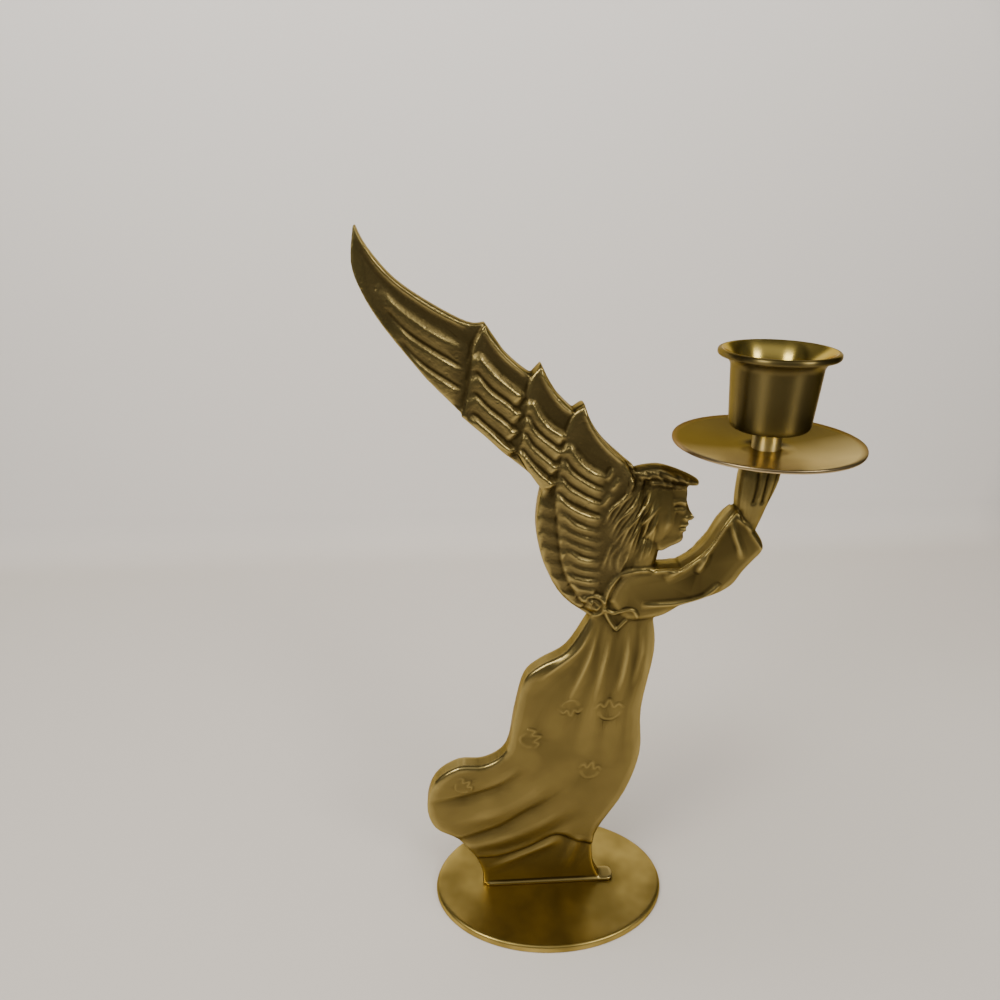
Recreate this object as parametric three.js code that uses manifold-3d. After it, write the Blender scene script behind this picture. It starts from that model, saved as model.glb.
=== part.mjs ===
// Angel candlestick: a flat brass casting of an angel on an oval base, one arm raised
// to carry a drip pan and a candle cup.
// Millimetres, +Z up, +X the way the angel faces. The origin is the middle of the base's underside.

import * as THREE from 'three';
import { mergeVertices } from 'three/addons/utils/BufferGeometryUtils.js';
import Module from 'manifold-3d';

const wasm = await Module();
wasm.setup();

// Clearance round shanks and studs, and under what unscrews
const CLEARANCE = 0.3;

// Base plate
const BASE_LENGTH = 78;
const BASE_WIDTH = 54;
const BASE_HEIGHT = 2.4;
const BASE_RIM = 1.2;

// Countersunk screws that hold the casting from below
const SCREW_SPACING = 26;
const SCREW_DIAMETER = 2.6;
const SCREW_HEAD = 5;
const SCREW_GRIP = 7;
const SCREW_SLOT_WIDTH = 0.9;
const SCREW_SLOT_DEPTH = 0.8;

// Casting: height from foot to wing tip, size of its foot and thickness of its flat grounds
const FIGURE_HEIGHT = 216.2;
const FOOT_LENGTH = 44.8;
const FOOT_DEPTH = 5.6;
const FOOT_HEIGHT = 1.2;
const PLINTH_THICKNESS = 4.6;
const GOWN_THICKNESS = 5.6;
const WING_THICKNESS = 2.6;
const PLINTH_EDGE = 0.8;
const GOWN_EDGE = 1.2;
const WING_EDGE = 0.6;

// Hand that carries the pan: its reach from the middle of the base and its top above the foot's underside,
// both as shares of the casting's height
const CUP_REACH_SHARE = 0.2627;
const HAND_TOP_SHARE = 0.7179;
const CUP_REACH = CUP_REACH_SHARE * FIGURE_HEIGHT;
const HAND_TOP = HAND_TOP_SHARE * FIGURE_HEIGHT;
const HAND_WIDTH = 13.4;
const HAND_DEPTH = 9.6;
const HAND_LEAN = 0.8;
const PALM = { wrist: [51.8, 129], width: [8, 10, 12.6], thickness: [6.4, 7.7, 8.6] };
const FINGER_COUNT = 4;
const FINGER_WIDTH = 4.6;
const FINGER_START = 8;

// Drip pan
const PAN_DIAMETER = 51.4;
const PAN_DEPTH = 3.2;
const PAN_THICKNESS = 1.2;
const PAN_FLOOR_DIAMETER = 18;

// Neck with its threaded stud
const NECK_DIAMETER = 7.9;
const NECK_HEIGHT = 5.8;
const STUD_DIAMETER = 4;
const STUD_REACH = 6;
const STUD_TIP = 0.6;
const STUD_HOLE = STUD_DIAMETER + 2 * CLEARANCE;

// Candle cup
const CUP_HEIGHT = 21.6;
const CUP_LIP_DIAMETER = 31.5;
const CUP_TOP_DIAMETER = 24;
const CUP_BOTTOM_DIAMETER = 22;
const CUP_WALL = 1.3;
const CUP_FLOOR = 1.6;
const CUP_CORNER = 2.6;
const LIP_HEIGHT = 4.2;
const LIP_THICKNESS = 1.4;

// Nut in the cup
const NUT_FLATS = 7;
const NUT_HEIGHT = 3.2;

// Facets of turned pieces, bores and cast forms
const TURNED = 36;
const BASE_FLATS = 60;
const BORE = 16;
const ROUND_STEPS = 4;
const EDGE_STEPS = 2;
const LEAF_SIDES = 8;
const FEATHER_STEPS = 5;
const FOLD_STEPS = 7;
const LIMB_SIDES = 10;
const LIMB_STEPS = 10;
const EGG_SIDES = 10;
const EGG_STEPS = 7;

// How far a cutting form runs past the face it opens, and how near two points count as one
const PAST = 1;
const WELD = 1e-5;

// Width of a leaf's tip as a share of its root's
const LEAF_TIP = 0.35;

// Outlines of the casting as edges, [x, z] from the middle of the foot's underside.
// Each edge is a smooth curve that starts where the edge before it ends.
const GOWN_EDGES = [
  [[29.8, 93], [27.2, 72], [28, 55], [24, 39], [16, 24], [14.4, 17]],
  [[7, 19.5], [0.5, 22], [-9, 16.5], [-18, 12.5], [-25, 12.5]],
  [[-31, 21.5], [-38.5, 27], [-40.5, 36], [-37, 46], [-30.5, 52.4]],
  [[-21, 52.4], [-15, 57], [-12.4, 72], [-9.6, 84], [-4.7, 89], [3, 93.8], [9, 104]],
  [[12, 113], [15, 124], [24, 126], [27.6, 118], [28.6, 104]],
];
const WING_EDGES = [
  [[-46, 203], [-36, 195.5], [-24, 188], [-10, 176], [2, 166], [11, 156], [19, 151]],
  [[12, 104]],
  [[1.5, 112], [-4.2, 123], [-6.4, 137], [-5.8, 147], [-17, 157.5], [-25, 165.5], [-36, 177]],
  [[-46, 190], [-51, 198.6], [-53.4, 206], [-51.6, 212]],
];
const PLINTH = [[14.8, 24], [14.3, 15], [15.3, 7], [18.2, 0], [-22.7, 0], [-23.2, 7], [-26, 14.5], [-24, 19]];

// Leaves of the relief. A fan spreads evenly from its first curve to its last, each [tip, bend, root].
// Widths are those of its first and last leaf; the thickness is through the whole casting.
const FEATHERS = [
  { first: [[-52.2, 215.4], [-52, 197], [-19, 186]], last: [[-37, 175], [-30, 169], [-20, 161]],
    count: 5, widths: [12, 10], thickness: 3.8 },
  { first: [[-20.8, 191.6], [-19.5, 178], [-3, 170]], last: [[-25.6, 166.4], [-20, 158], [-10, 154]],
    count: 5, widths: [10, 7.6], thickness: 4.4 },
  { first: [[-6.2, 181.2], [-5, 168], [8, 161]], last: [[-11, 153.4], [-7.5, 147], [1, 143]],
    count: 5, widths: [10, 7.6], thickness: 5.4 },
  { first: [[-7.6, 145.6], [-3, 140], [6, 138]], last: [[1.6, 109.6], [6, 106], [13, 104]],
    count: 7, widths: [8, 7.4], thickness: 5 },
  { first: [[5.4, 170.6], [6.4, 158], [19, 150]], last: [[3.4, 112], [8, 108.4], [14, 108]],
    count: 9, widths: [10, 8], thickness: 6.4 },
  { first: [[12.6, 157.4], [15, 152], [21, 147]], last: [[9.6, 115], [12, 112], [17, 114]],
    count: 6, widths: [8, 8], thickness: 7.4 },
];
const GOWN_FOLDS = [
  { first: [[12, 114], [-1, 52], [-39, 40.6]], last: [[27.4, 114], [31, 58], [13, 20]],
    count: 6, widths: [10, 11], thickness: 8.2, steps: FOLD_STEPS },
  { first: [[0, 42], [-18, 32], [-39, 31.4]], last: [[6, 31], [-10, 19], [-28, 15.5]],
    count: 2, widths: [10, 10], thickness: 8.4, steps: FOLD_STEPS },
  { first: [[11, 106], [3, 95], [-9, 85]], last: [[13, 106], [0, 88], [-13, 58]],
    count: 2, widths: [6, 7], thickness: 7.6, steps: FOLD_STEPS },
];
const PLINTH_FOLDS = [
  { first: [[6, 21], [-6, 12], [-21, 4]], last: [[9, 21], [5, 12], [3, 2]],
    count: 2, widths: [6, 5], thickness: 6.2 },
];
const HAIR = [
  { first: [[39, 147.6], [13, 163.6], [14.4, 121]], last: [[37, 145.6], [22, 149], [25.6, 122]],
    count: 6, widths: [6, 5.4], thickness: 10, steps: FOLD_STEPS },
];
const SLEEVE_FOLDS = [
  { first: [[30, 119], [43, 121], [47.4, 137.4]], last: [[38, 110.4], [51, 113], [58.8, 127]],
    count: 4, widths: [5, 5], thickness: 10.6 },
];
const SASH = [
  { first: [[13, 108.6], [18, 109.6], [23, 107.6]], last: [[14.6, 104.6], [17, 101], [20, 104]],
    count: 2, widths: [3, 2.4], thickness: 9 },
];

// Rosette, skull, face and chin as eggs, each a place and a size along X, Y and Z
const ROSETTE = { place: [10.4, 109.6], size: [7.4, 8.6, 7.4] };
const SKULL = { place: [27.2, 140.6], size: [17, 9, 23] };
const FACE = { place: [31, 135.6], size: [10.6, 7.8, 17] };
const CHIN = { place: [33.2, 129.4], size: [5, 5.6, 5] };
const NOSE = { path: [[35.4, 140.6], [38.4, 136.4], [35.2, 135.4]], width: 2.6, thickness: 3.2 };
const NECK = { path: [[25.6, 132], [23.6, 126], [22, 117]], width: [7, 8, 10], thickness: [6.4, 7, 7] };

// Raised arm
const SHOULDER = { place: [22, 115.6], size: [17, 9.4, 13] };
const ARM = { path: [[20, 115.4], [34, 114.4], [43.5, 117.6], [49.5, 124.6], [53.2, 132.2]],
  width: [12.4, 13, 15.6, 16.4, 15.8], thickness: [9, 9, 9.4, 9.6, 9.6] };

// The casting is drawn with the tip of its first feather as its top, and made at its own height
const SCALE = FIGURE_HEIGHT / FEATHERS[0].first[0][1];

// Solids

function toSolid(geometry) {
  const bare = geometry.clone();
  bare.deleteAttribute('normal');
  bare.deleteAttribute('uv');
  const merged = mergeVertices(bare, WELD);
  const mesh = new wasm.Mesh({
    numProp: 3,
    vertProperties: new Float32Array(merged.attributes.position.array),
    triVerts: new Uint32Array(merged.index.array),
  });
  return new wasm.Manifold(mesh);
}

function toGeometry(solid) {
  const mesh = solid.getMesh();
  const geometry = new THREE.BufferGeometry();
  geometry.setAttribute('position', new THREE.BufferAttribute(mesh.vertProperties, 3));
  geometry.setIndex(new THREE.BufferAttribute(mesh.triVerts, 1));
  geometry.computeVertexNormals();
  return geometry;
}

function join(geometries) {
  return geometries.map(toSolid).reduce((whole, piece) => whole.add(piece));
}

function cut(solid, geometries) {
  return geometries.map(toSolid).reduce((rest, piece) => rest.subtract(piece), solid);
}

const vectors = (points) => points.map(([x, z]) => new THREE.Vector2(x, z));

// Points of a closed outline made of smooth edges
function outline(edges) {
  return edges.flatMap((points, index) => {
    const start = edges.at(index - 1).at(-1);
    const curve = new THREE.SplineCurve(vectors([start, ...points]));
    return curve.getPoints(EDGE_STEPS * points.length).slice(0, -1);
  });
}

// A flat ground in the XZ plane, centred on y = 0, with its edges rounded on both faces
function ground(points, thickness, rounding) {
  const geometry = new THREE.ExtrudeGeometry(new THREE.Shape(points), {
    depth: thickness - 2 * rounding,
    bevelThickness: rounding,
    bevelSize: rounding,
    bevelOffset: -rounding,
    bevelSegments: EDGE_STEPS,
  });
  geometry.translate(0, 0, rounding - thickness / 2);
  return geometry.rotateX(Math.PI / 2);
}

// Bends a unit form, standing on the Y axis from 1 to -1, along a curve in the XZ plane
function sweep(form, curve, width, thickness) {
  const position = form.attributes.position;
  for (let i = 0; i < position.count; i += 1) {
    const share = (1 - position.getY(i)) / 2;
    const middle = curve.getPoint(share);
    const tangent = curve.getTangent(share);
    const across = position.getX(i) * width(share) / 2;
    const through = position.getZ(i) * thickness(share) / 2;
    position.setXYZ(i, middle.x - tangent.y * across, -through, middle.y + tangent.x * across);
  }
  return form;
}

// A value that runs evenly through a list as share goes from 0 to 1; a single value stays as it is
function along(values) {
  const list = Array.isArray(values) ? values : [values, values];
  return (share) => {
    const place = share * (list.length - 1);
    const index = Math.min(Math.floor(place), list.length - 2);
    return THREE.MathUtils.lerp(list[index], list[index + 1], place - index);
  };
}

// A leaf: pointed at both ends, lens-shaped in section
function leaf([tip, bend, root], width, thickness, steps = FEATHER_STEPS) {
  const curve = new THREE.QuadraticBezierCurve(...vectors([tip, bend, root]));
  const pointed = along([LEAF_TIP * width, width]);
  return sweep(new THREE.SphereGeometry(1, LEAF_SIDES, steps), curve, pointed, along(thickness));
}

function fan({ first, last, count, widths, thickness, steps }) {
  return Array.from({ length: count }, (_, index) => {
    const share = index / (count - 1);
    const path = first.map(([x, z], k) => [
      THREE.MathUtils.lerp(x, last[k][0], share),
      THREE.MathUtils.lerp(z, last[k][1], share),
    ]);
    return leaf(path, along(widths)(share), thickness, steps);
  });
}

// A limb: a rounded form of changing width, flat at both ends
function limb({ path, width, thickness }) {
  const curve = new THREE.SplineCurve(vectors(path));
  const form = new THREE.CylinderGeometry(1, 1, 2, LIMB_SIDES, LIMB_STEPS);
  return sweep(form, curve, along(width), along(thickness));
}

function egg({ place: [x, z], size }) {
  const ball = new THREE.SphereGeometry(0.5, EGG_SIDES, EGG_STEPS).rotateX(Math.PI / 2);
  return ball.scale(...size).translate(x, 0, z);
}

// A turned piece on the Z axis; its profile is [radius, height] from the bottom of the axis to its top
function turned(profile, flats = TURNED) {
  return new THREE.LatheGeometry(vectors(profile), flats).rotateX(Math.PI / 2);
}

function rod(diameter, bottom, top, flats = BORE) {
  return turned([[0, bottom], [diameter / 2, bottom], [diameter / 2, top], [0, top]], flats);
}

// Points of a quarter round from one point to another, bulging towards the corner
function quarter(from, corner, to) {
  const curve = new THREE.QuadraticBezierCurve(...vectors([from, corner, to]));
  return curve.getPoints(ROUND_STEPS).map(({ x, y }) => [x, y]);
}

// Pieces

function screwProfile(extra) {
  const head = SCREW_HEAD / 2 + extra;
  const shank = SCREW_DIAMETER / 2 + extra;
  return [[0, 0], [head, 0], [shank, head - shank], [shank, BASE_HEIGHT + SCREW_GRIP + extra],
    [0, BASE_HEIGHT + SCREW_GRIP + extra]];
}

function figureScrew() {
  const slot = new THREE.BoxGeometry(SCREW_HEAD * 2, SCREW_SLOT_WIDTH, SCREW_SLOT_DEPTH * 2);
  return cut(toSolid(turned(screwProfile(0), BORE)), [slot]);
}

function screwHole(side) {
  return turned(screwProfile(CLEARANCE), BORE).translate(side * SCREW_SPACING / 2, 0, 0);
}

function basePlate() {
  const radius = BASE_LENGTH / 2;
  const top = BASE_HEIGHT;
  const rim = quarter([radius, top - BASE_RIM], [radius, top], [radius - BASE_RIM, top]);
  const plate = turned([[0, 0], [radius, 0], ...rim, [0, top]], BASE_FLATS);
  plate.scale(1, BASE_WIDTH / BASE_LENGTH, 1);
  return cut(toSolid(plate), [screwHole(-1), screwHole(1)]);
}

function hand() {
  const [x, z] = PALM.wrist.map((value) => value * SCALE);
  const top = HAND_TOP + HAND_LEAN;
  const middle = CUP_REACH - HAND_LEAN;
  const half = [(x + middle) / 2, (z + top) / 2];
  const path = [[x, z], [half[0] - HAND_LEAN, half[1]], [middle, top]];
  const spread = (HAND_WIDTH - FINGER_WIDTH) / 2;
  const finger = (side) => [
    [x + side * spread / 2, z + FINGER_START],
    [half[0] + side * spread, half[1] + FINGER_WIDTH],
    [middle + side * spread, top + FINGER_WIDTH],
  ];
  const fingers = fan({ first: finger(-1), last: finger(1), count: FINGER_COUNT,
    widths: [FINGER_WIDTH, FINGER_WIDTH], thickness: HAND_DEPTH });
  return [limb({ path, width: PALM.width, thickness: PALM.thickness }), ...fingers];
}

function angelFigure() {
  const foot = new THREE.BoxGeometry(FOOT_LENGTH, FOOT_DEPTH, FOOT_HEIGHT).translate(0, 0, FOOT_HEIGHT / 2);
  const relief = [...FEATHERS, ...GOWN_FOLDS, ...PLINTH_FOLDS, ...HAIR, ...SLEEVE_FOLDS, ...SASH];
  const grounds = [
    ground(vectors(PLINTH), PLINTH_THICKNESS, PLINTH_EDGE),
    ground(outline(GOWN_EDGES), GOWN_THICKNESS, GOWN_EDGE),
    ground(outline(WING_EDGES), WING_THICKNESS, WING_EDGE),
  ];
  const forms = [
    ...relief.flatMap(fan),
    egg(ROSETTE),
    egg(SKULL),
    egg(FACE),
    egg(CHIN),
    leaf(NOSE.path, NOSE.width, NOSE.thickness),
    limb(NECK),
    egg(SHOULDER),
    limb(ARM),
  ];
  grounds.forEach((form) => form.scale(SCALE, 1, SCALE));
  forms.forEach((form) => form.scale(SCALE, SCALE, SCALE));
  const whole = join([foot, ...grounds, ...forms, ...hand()]);
  const panSpace = new THREE.BoxGeometry(2 * HAND_WIDTH, 2 * HAND_DEPTH, HAND_WIDTH);
  panSpace.translate(CUP_REACH, 0, HAND_TOP + HAND_WIDTH / 2);
  const studHole = rod(STUD_HOLE, HAND_TOP - STUD_REACH - CLEARANCE, HAND_TOP + PAST);
  const shanks = [-1, 1].map((side) => screwHole(side).translate(0, 0, -BASE_HEIGHT));
  return cut(whole, [panSpace, studHole.translate(CUP_REACH, 0, 0), ...shanks]);
}

function dripPan() {
  const rim = PAN_DIAMETER / 2;
  const flat = PAN_FLOOR_DIAMETER / 2;
  const top = PAN_DEPTH + PAN_THICKNESS;
  const under = quarter([flat, 0], [(flat + rim) / 2, 0], [rim, PAN_DEPTH]);
  const dish = quarter([rim, top], [(flat + rim) / 2, PAN_THICKNESS], [flat, PAN_THICKNESS]);
  const pan = toSolid(turned([[0, 0], ...under, ...dish, [0, PAN_THICKNESS]]));
  return cut(pan, [rod(STUD_HOLE, -PAST, PAN_THICKNESS + PAST)]);
}

function neckStud() {
  const stud = STUD_DIAMETER / 2;
  const neck = NECK_DIAMETER / 2;
  const top = NECK_HEIGHT + CUP_FLOOR + NUT_HEIGHT + STUD_TIP;
  const bottom = -CLEARANCE - PAN_THICKNESS - STUD_REACH;
  return toSolid(turned([[0, bottom], [stud, bottom], [stud, 0], [neck, 0], [neck, NECK_HEIGHT],
    [stud, NECK_HEIGHT], [stud, top], [0, top]], BORE));
}

function candleCup() {
  const low = CUP_BOTTOM_DIAMETER / 2;
  const high = CUP_TOP_DIAMETER / 2;
  const lip = CUP_LIP_DIAMETER / 2;
  const bead = LIP_THICKNESS / 2;
  const inner = high - CUP_WALL;
  const shoulder = CUP_HEIGHT - LIP_HEIGHT;
  const under = CUP_HEIGHT - LIP_THICKNESS;
  const profile = [
    [0, 0],
    ...quarter([low - CUP_CORNER, 0], [low, 0], [low, CUP_CORNER]),
    ...quarter([high, shoulder], [high, under], [lip - bead, under]),
    [lip, under + bead],
    ...quarter([lip - bead, CUP_HEIGHT], [inner, CUP_HEIGHT], [inner, shoulder]),
    ...quarter([low - CUP_WALL, CUP_FLOOR + CUP_CORNER], [low - CUP_WALL, CUP_FLOOR],
      [low - CUP_WALL - CUP_CORNER, CUP_FLOOR]),
    [0, CUP_FLOOR],
  ];
  return cut(toSolid(turned(profile)), [rod(STUD_HOLE, -PAST, CUP_FLOOR + PAST)]);
}

function cupNut() {
  const corner = NUT_FLATS / Math.sqrt(3);
  const hexagon = new THREE.CylinderGeometry(corner, corner, NUT_HEIGHT, 6).rotateX(Math.PI / 2);
  hexagon.translate(0, 0, NUT_HEIGHT / 2);
  return cut(toSolid(hexagon), [rod(STUD_HOLE, -PAST, NUT_HEIGHT + PAST)]);
}

// Assembly

const castBrass = { color: 0x77632f, roughness: 0.45, metalness: 1 };
const polishedBrass = { color: 0xa88a3c, roughness: 0.18, metalness: 1 };
const spunBrass = { color: 0xa98f52, roughness: 0.35, metalness: 1 };

function piece(name, solid, finish, z = 0, x = 0) {
  const mesh = new THREE.Mesh(toGeometry(solid), new THREE.MeshStandardMaterial(finish));
  mesh.name = name;
  mesh.position.set(x, 0, z);
  return mesh;
}

const panSeat = BASE_HEIGHT + HAND_TOP;
const neckSeat = panSeat + PAN_THICKNESS + CLEARANCE;
const cupSeat = neckSeat + NECK_HEIGHT;

const candlestick = new THREE.Group();
candlestick.name = 'angel_candlestick';
candlestick.add(
  piece('base_plate', basePlate(), polishedBrass),
  piece('angel_figure', angelFigure(), castBrass, BASE_HEIGHT),
  piece('figure_screw_left', figureScrew(), spunBrass, 0, -SCREW_SPACING / 2),
  piece('figure_screw_right', figureScrew(), spunBrass, 0, SCREW_SPACING / 2),
  piece('drip_pan', dripPan(), spunBrass, panSeat, CUP_REACH),
  piece('neck_stud', neckStud(), polishedBrass, neckSeat, CUP_REACH),
  piece('candle_cup', candleCup(), polishedBrass, cupSeat, CUP_REACH),
  piece('cup_nut', cupNut(), polishedBrass, cupSeat + CUP_FLOOR, CUP_REACH),
);

export default candlestick;
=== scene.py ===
# Angel candlestick in brass: a flat relief casting of an angel on an oval base,
# one arm raised to carry a drip pan and a candle cup that unscrews.
# Pieces are modelled in millimetres and scaled to metres when they are finished.

import math

import bmesh
import bpy
import numpy as np
from mathutils import Matrix, Vector


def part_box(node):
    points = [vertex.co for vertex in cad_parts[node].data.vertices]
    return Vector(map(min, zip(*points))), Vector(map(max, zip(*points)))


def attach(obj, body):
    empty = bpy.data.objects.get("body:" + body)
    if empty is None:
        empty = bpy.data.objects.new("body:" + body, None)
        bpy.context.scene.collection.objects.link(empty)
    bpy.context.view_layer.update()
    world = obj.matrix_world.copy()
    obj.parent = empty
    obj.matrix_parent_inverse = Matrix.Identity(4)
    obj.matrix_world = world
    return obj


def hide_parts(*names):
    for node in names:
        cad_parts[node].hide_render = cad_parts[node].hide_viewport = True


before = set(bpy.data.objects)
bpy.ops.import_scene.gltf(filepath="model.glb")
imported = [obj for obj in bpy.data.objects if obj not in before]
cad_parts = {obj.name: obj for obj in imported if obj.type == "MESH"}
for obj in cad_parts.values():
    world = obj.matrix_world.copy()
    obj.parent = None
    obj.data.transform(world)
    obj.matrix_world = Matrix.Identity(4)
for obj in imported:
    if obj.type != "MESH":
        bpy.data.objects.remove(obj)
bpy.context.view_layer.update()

MM = 0.001

# Places and sizes taken from the frame, in millimetres


def span(node):
    low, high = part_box(node)
    return Vector(low) / MM, Vector(high) / MM


BASE_HIGH = span("base_plate")[1]
PAN_LOW, PAN_HIGH = span("drip_pan")
STUD_LOW, STUD_HIGH = span("neck_stud")
CUP_LOW, CUP_HIGH = span("candle_cup")
NUT_LOW, NUT_HIGH = span("cup_nut")
FIGURE_LOW, FIGURE_HIGH = span("angel_figure")
CUP_AXIS = (CUP_LOW + CUP_HIGH) / 2
FOOT_Z = FIGURE_LOW.z

# The casting's forms are drawn with their top at this height, and made at the frame's
DRAWN_TOP = 215.4
CAST_SCALE = (FIGURE_HIGH.z - FOOT_Z) / DRAWN_TOP

# Fineness of the casting, its rounds of softening, and where the cloth's extra softening ends
VOXEL = 0.34
SOFTENING = 4
CLOTH_SOFTENING = 6
CLOTH_TOP = 102.0
CLOTH_FADE = 6.0
CASTING_TRIANGLES = 190000

# Carved lines: samples along a path, reach in line widths, the share of a path over which its
# ends fade, and how carving fades where the surface turns to the edge
LINE_STEPS = 64
LINE_REACH = 4
LINE_FADE = 0.15
FOLD_FADE = 0.35
EDGE_FREE = 0.25
EDGE_FULL = 0.5

# Fans of lines: the difference in rise from line to line, the turn of that and of the sway, and
# the grooves between feathers, each close to the steep side of the next one
UNEVEN = 0.25
UNEVEN_TURN = 2.4
SWAY_TURN = 1.9
SWAY_STEP = 2.3
GROOVE_PLACE = 0.7
GROOVE_WIDTH = (0.7, 0.7)

# Relief for the finish, which places painted shade in hollows and a painted highlight on ridges:
# rounds of smoothing it is measured against, and the rise that is full
RELIEF_STEPS = 26
RELIEF_DEPTH = 0.26

# Where feathers and hair end: the hair's front, the roll over the brow and the painted shade laid
# over it, and the shoulder's start and slope
HAIR_FRONT = 25.0
ROLL_LOW = 146.0
ROLL_START = 18.0
ROLL_END = 42.0
ROLL_SHADE = 0.45
SHOULDER_X = 13.0
SHOULDER_Z = 108.0
SHOULDER_SLOPE = 0.95
SHOULDER_FADE = 2.5
PLUMAGE_FADE = 8.0

# Turned pieces
TURNED_STEPS = 160
EASE = 0.3
HOLE_PLAY = 0.3
BASE_RIM = 1.7
BASE_RING = 5.0
BASE_HOLLOW = 0.15
BASE_TURN = 0.4
BASE_EDGE = 0.5
BASE_SKIN = 0.02
PAN_THICKNESS = 0.9
PAN_FLOOR_HEIGHT = 1.7
PAN_EASE = 0.4
PAN_FLOOR = 18.0
PAN_TURN = 3.0
PAN_EDGE = 0.12
CUP_WALL = 1.3
CUP_FLOOR = 1.6
CUP_TOP = 24.0
CUP_BOTTOM = 22.0
CUP_CORNER = 2.6
LIP_HEIGHT = 4.2
LIP_THICKNESS = 1.8
LIP_ROLL = 0.2
FLARE_DROP = 0.9
FLARE_EASE = 0.8

# Stud, nut and screws. A thread starts and runs out short of each end, and its ridge's half widths
# at foot and crest are shares of the pitch.
STUD_DIAMETER = 4.0
STUD_STEPS = 96
STUD_TIP = 0.4
STUD_LEAD = 0.6
STUD_RUNOUT = 1.0
NECK_HEIGHT = 5.8
CUP_LEAD = 0.4
CUP_RUNOUT = 0.9
THREAD_PITCH = 0.7
THREAD_DEPTH = 0.35
THREAD_FOOT = 0.45
THREAD_CREST = 0.06
NUT_PLAY = 0.05
SCREW_HEAD = 5.0
SCREW_SHANK = 2.6
SCREW_STEPS = 64
SCREW_NECK = 1.2
SCREW_TIP = 0.6
SCREW_LEAD = 1.4
SCREW_RUNOUT = 2.4
SCREW_SLOT = 0.9
SCREW_SLOT_DEPTH = 0.8
FLAT = 0.01

# Casting: outlines as smooth edges, [x, z] from the middle of the foot's underside.
# Each edge starts where the edge before it ends.
GOWN_EDGES = [
    [(29.8, 93), (27.2, 72), (28, 55), (24, 39), (16, 24), (14.4, 17)],
    [(8, 19.2), (1.7, 21.8), (-7, 17.2), (-17, 13.4), (-25, 13)],
    [(-31, 21.5), (-38.5, 27), (-40.8, 36), (-38, 46), (-30.5, 51.6), (-22, 52), (-15, 57.6),
     (-12.4, 72), (-9.6, 84), (-4.7, 89), (3, 93.8), (9, 104)],
    [(12, 113), (15, 124), (24, 126), (27.6, 118), (28.6, 104)],
]
PLINTH_EDGES = [
    [(14.3, 15), (15.3, 7), (18.2, 0)],
    [(-22.7, 0)],
    [(-23.2, 7), (-26, 14.5)],
    [(0, 24), (14.8, 22)],
]
WING_EDGES = [
    [(-49.4, 209.6), (-43, 202), (-34, 195.8), (-25.1, 191.2), (-20.9, 191.2)],
    [(-18.3, 187.3), (-14.4, 182.1), (-8.9, 178)],
    [(-6.4, 180.9)],
    [(-3.8, 175.7), (-0.2, 170.5), (2.3, 168.6)],
    [(5.3, 170.2)],
    [(7.3, 165.2), (10.8, 160.1), (16, 155.2), (19.8, 152)],
    [(12, 104)],
    [(1.5, 112), (-4.2, 123), (-6.4, 137), (-5.8, 147), (-17, 157.5), (-25, 165.5), (-36, 177)],
    [(-46, 190), (-51, 198.6), (-53.2, 206), (-52, 215)],
]
SLEEVE_EDGES = [
    [(14.8, 116), (18.4, 121), (24, 121.8), (30, 121.6), (35, 121.8)],
    [(39, 124.6), (42.6, 128.8), (45.8, 134.8), (48.4, 138.4), (50.2, 138.8), (52.6, 136.2),
     (56.6, 131.6), (59, 127.8), (58.8, 125.2), (56.6, 122.4), (54, 119), (51.4, 114.8), (47.4, 112),
     (42.6, 110.2), (36, 108)],
    [(30, 104.6), (20, 104), (13.6, 111)],
]
FACE_EDGES = [
    [(35.3, 143.6), (35.2, 140.6), (36.6, 138.6), (37.7, 137)],
    [(36.9, 136.2), (35.8, 135.9)],
    [(36.3, 134.8), (35.5, 134), (35.9, 132.9), (35, 131.9)],
    [(35.3, 130.4), (34.4, 129), (32, 127.9)],
    [(28, 126.8), (26, 136), (29, 146), (35, 146.4)],
]

# Tiers of the wing, each laid over the tier outside it
SECOND_TIER = [
    [(-23, 187.6), (-24.4, 184), (-24.9, 179), (-25.5, 174.6), (-26.4, 170), (-27.2, 167)],
    [(-22, 162.4), (-17, 158.4), (-12.6, 156.4)],
    [(-6, 160), (-4, 170), (-8.9, 177.6)],
    [(-12, 180.2), (-15.2, 183.1), (-19, 187.4), (-20.9, 190.6)],
]
THIRD_TIER = [
    [(-8.7, 178), (-10, 174.8), (-10.4, 170.2), (-10.8, 166.2), (-11.5, 162.1), (-12.5, 157)],
    [(-9.8, 152.2), (-7.4, 148.6), (-5.8, 146.4)],
    [(1, 148), (6, 157), (2.4, 168.4)],
    [(-0.1, 170.8), (-3.5, 174.6), (-6.5, 180.4)],
]
FOURTH_TIER = [
    [(2.6, 168), (0.8, 164.3), (-0.2, 159.1), (-1, 154.2), (-1.7, 148.4), (-2.1, 143.3),
     (-1.4, 138), (-0.6, 131.1), (0.4, 124.1), (2.7, 117.6), (6.4, 111.4)],
    [(13, 109), (18, 122), (20, 140), (19, 150.4)],
    [(16.6, 154.2), (12.4, 158.2), (8.1, 163.5), (5.2, 169.8)],
]

SHORT_FEATHERS = [
    [(-6.6, 141), (-6.8, 134), (-5.2, 125.4), (-2.2, 118.4), (2, 112.4), (6, 109)],
    [(12, 112), (8, 130), (4, 146)],
    [(-2, 148), (-5.6, 146.6)],
]

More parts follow.
